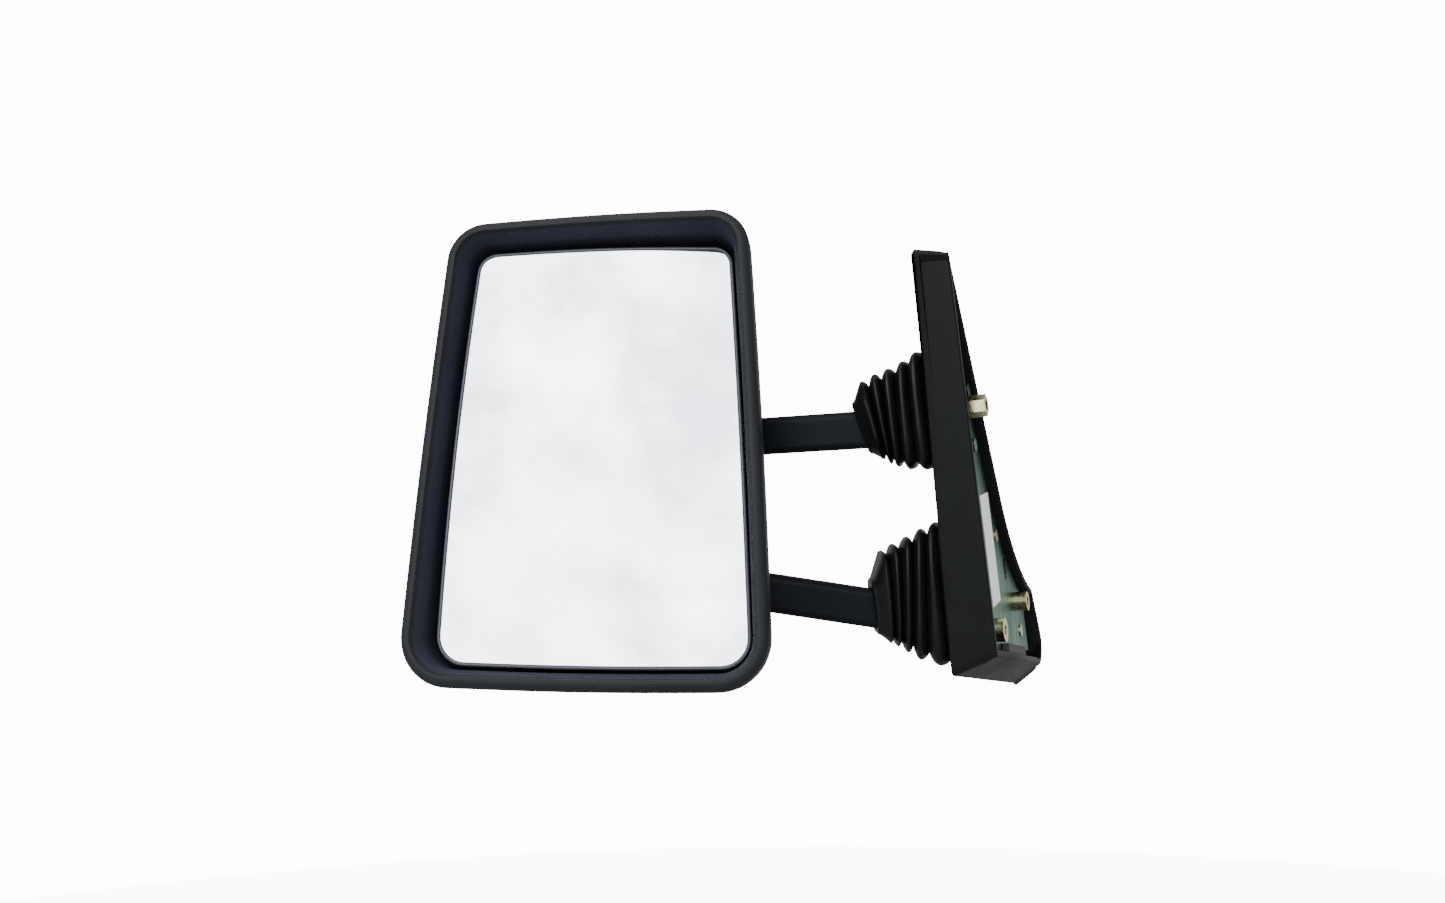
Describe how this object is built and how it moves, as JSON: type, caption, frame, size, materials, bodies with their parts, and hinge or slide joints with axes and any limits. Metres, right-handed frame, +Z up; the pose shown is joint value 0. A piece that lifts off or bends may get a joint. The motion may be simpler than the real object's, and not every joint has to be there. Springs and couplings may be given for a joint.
{
  "type": "twin-arm door mirror",
  "caption": "Folding twin-arm exterior mirror for a van or light truck: tall framed glass on two arms with rubber bellows and a triangular door base.",
  "frame": {"origin": "axis of the upper fixing bush where it crosses the door face", "axes": "+X into the vehicle, square to the door face; +Y to the front of the vehicle; +Z up"},
  "size_m": [0.368, 0.3517, 0.3227],
  "materials": {
    "black_cover": "fine grain",
    "black_housing": "satin moulded",
    "zinc_plate": "bright zinc",
    "yellow_zinc": "yellow passivated zinc",
    "label_paper": "blank",
    "black_rubber": "matt",
    "hard_steel": "plain",
    "nylon": "natural",
    "bellows_rubber": "satin",
    "arm_coat": "black powder coat",
    "carrier_plastic": "black",
    "pad_foam": "foam tape",
    "mirror_face": "convex silvered"
  },
  "bodies": {
    "base": {"base_cover": "black_cover", "base_bracket": "zinc_plate", "upper_bush": "yellow_zinc", "front_bush": "yellow_zinc", "rear_bush": "yellow_zinc", "bracket_bolts": "zinc_plate", "cover_screws": "yellow_zinc", "data_label": "label_paper", "rubber_block": "black_rubber", "hinge_bracket_upper": "zinc_plate", "hinge_bracket_lower": "zinc_plate", "hinge_pin_upper": "hard_steel", "hinge_pin_lower": "hard_steel", "disc_springs": "hard_steel", "hinge_nuts": "yellow_zinc", "thrust_washers": "nylon", "bellows_upper": "bellows_rubber", "bellows_lower": "bellows_rubber"},
    "head": {"arm_upper": "arm_coat", "arm_lower": "arm_coat", "pivot_bushes": "nylon", "head_plate": "zinc_plate", "arm_bolts": "hard_steel", "arm_nuts": "yellow_zinc", "front_bezel": "black_housing", "rear_shell": "black_housing", "shell_screws": "hard_steel", "pivot_post": "nylon", "post_screws": "hard_steel", "preload_spring": "hard_steel"},
    "glass_cross": {"gimbal_cross": "nylon"},
    "glass": {"glass_carrier": "carrier_plastic", "adhesive_pad": "pad_foam", "mirror_glass": "mirror_face"}
  },
  "joints": [
    {"name": "fold", "type": "hinge", "parent": "base", "child": "head", "pos_m": [-0.045, 0.02289, -0.06996], "axis": [0, -0.2588, 0.9659], "range_deg": [-65, 50], "deforming": ["bellows_upper", "bellows_lower"]},
    {"name": "glass_pan", "type": "hinge", "parent": "head", "child": "glass_cross", "pos_m": [-0.23689, -0.07391, -0.02229], "axis": [0.0262, 0, 0.9997], "range_deg": [-7, 3.5]},
    {"name": "glass_tilt", "type": "hinge", "parent": "glass_cross", "child": "glass", "pos_m": [-0.23689, -0.07391, -0.02229], "axis": [0.9544, 0.2974, -0.025], "range_deg": [-6, 6]}
  ]
}
